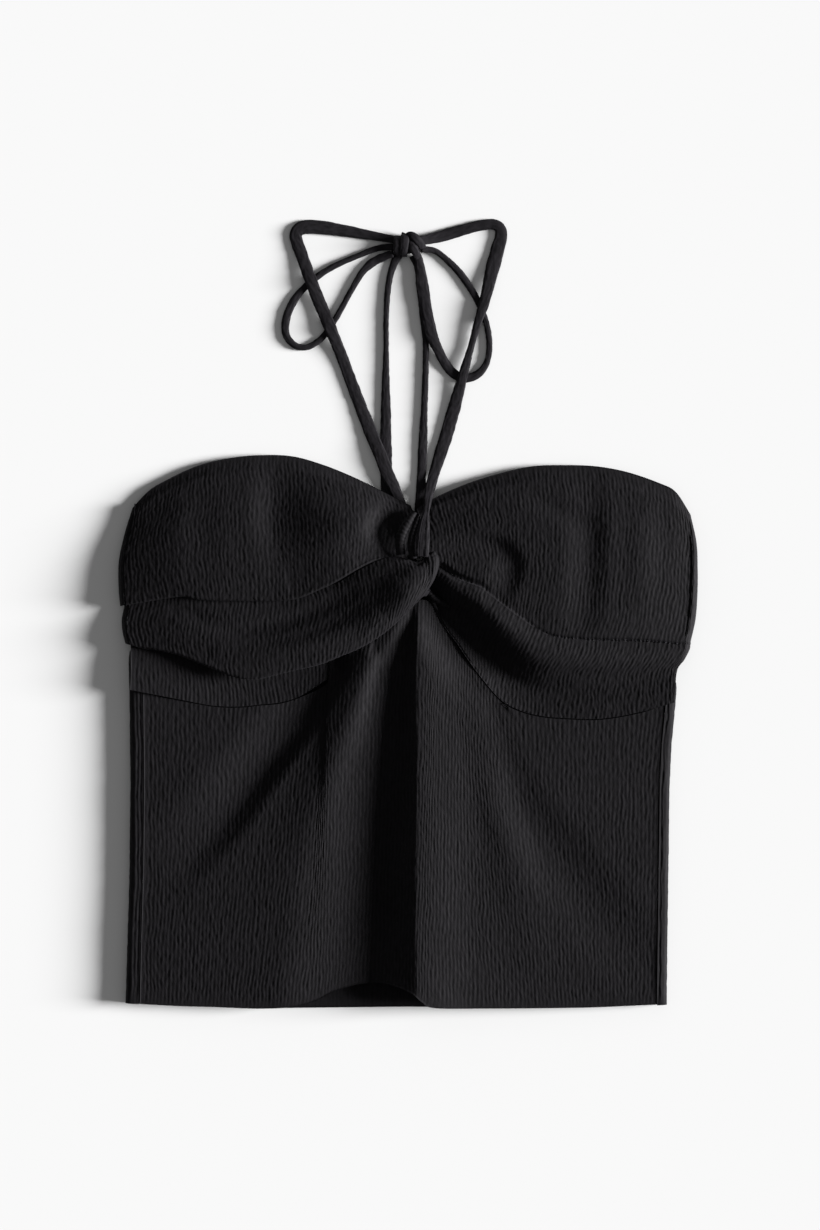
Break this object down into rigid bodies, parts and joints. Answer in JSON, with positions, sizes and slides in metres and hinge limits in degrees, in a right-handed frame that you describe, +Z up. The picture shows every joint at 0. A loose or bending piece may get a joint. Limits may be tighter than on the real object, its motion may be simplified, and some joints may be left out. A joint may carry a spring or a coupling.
{
  "type": "twist-front halter bandeau top, laid flat",
  "caption": "Cropped bandeau top of crinkle cloth with a twisted sweetheart front and narrow halter ties in a bow, laid flat on its back panel",
  "frame": {"origin": "middle of the top's underside, halfway between its sides and between its neckline and hem, on the surface it lies on; the ties reach past it", "axes": "+Z up out of the surface, with the garment's front up; +Y towards the neck and the ties; +X to the right as seen from above"},
  "size_m": [0.3714, 0.5052, 0.0241],
  "materials": {
    "body_cloth": "matte black crinkle cloth with fine broken ribs down its length",
    "bust_cloth": "matte black crinkle cloth, draped and drawn into a twist",
    "tie_cloth": "matte black crinkle cloth, folded and stitched into narrow flat ties"
  },
  "bodies": {
    "root": {"back_body": "body_cloth", "front_body": "body_cloth", "bust_left_upper": "bust_cloth", "bust_left_drape": "bust_cloth", "bust_left_band": "bust_cloth", "bust_right_panel": "bust_cloth", "twist_hook": "bust_cloth", "tie_strap_left": "tie_cloth", "tie_strap_right": "tie_cloth", "tie_loop_left": "tie_cloth", "tie_loop_right": "tie_cloth", "tie_tail_left": "tie_cloth", "tie_tail_right": "tie_cloth", "tie_knot": "tie_cloth"}
  },
  "joints": []
}
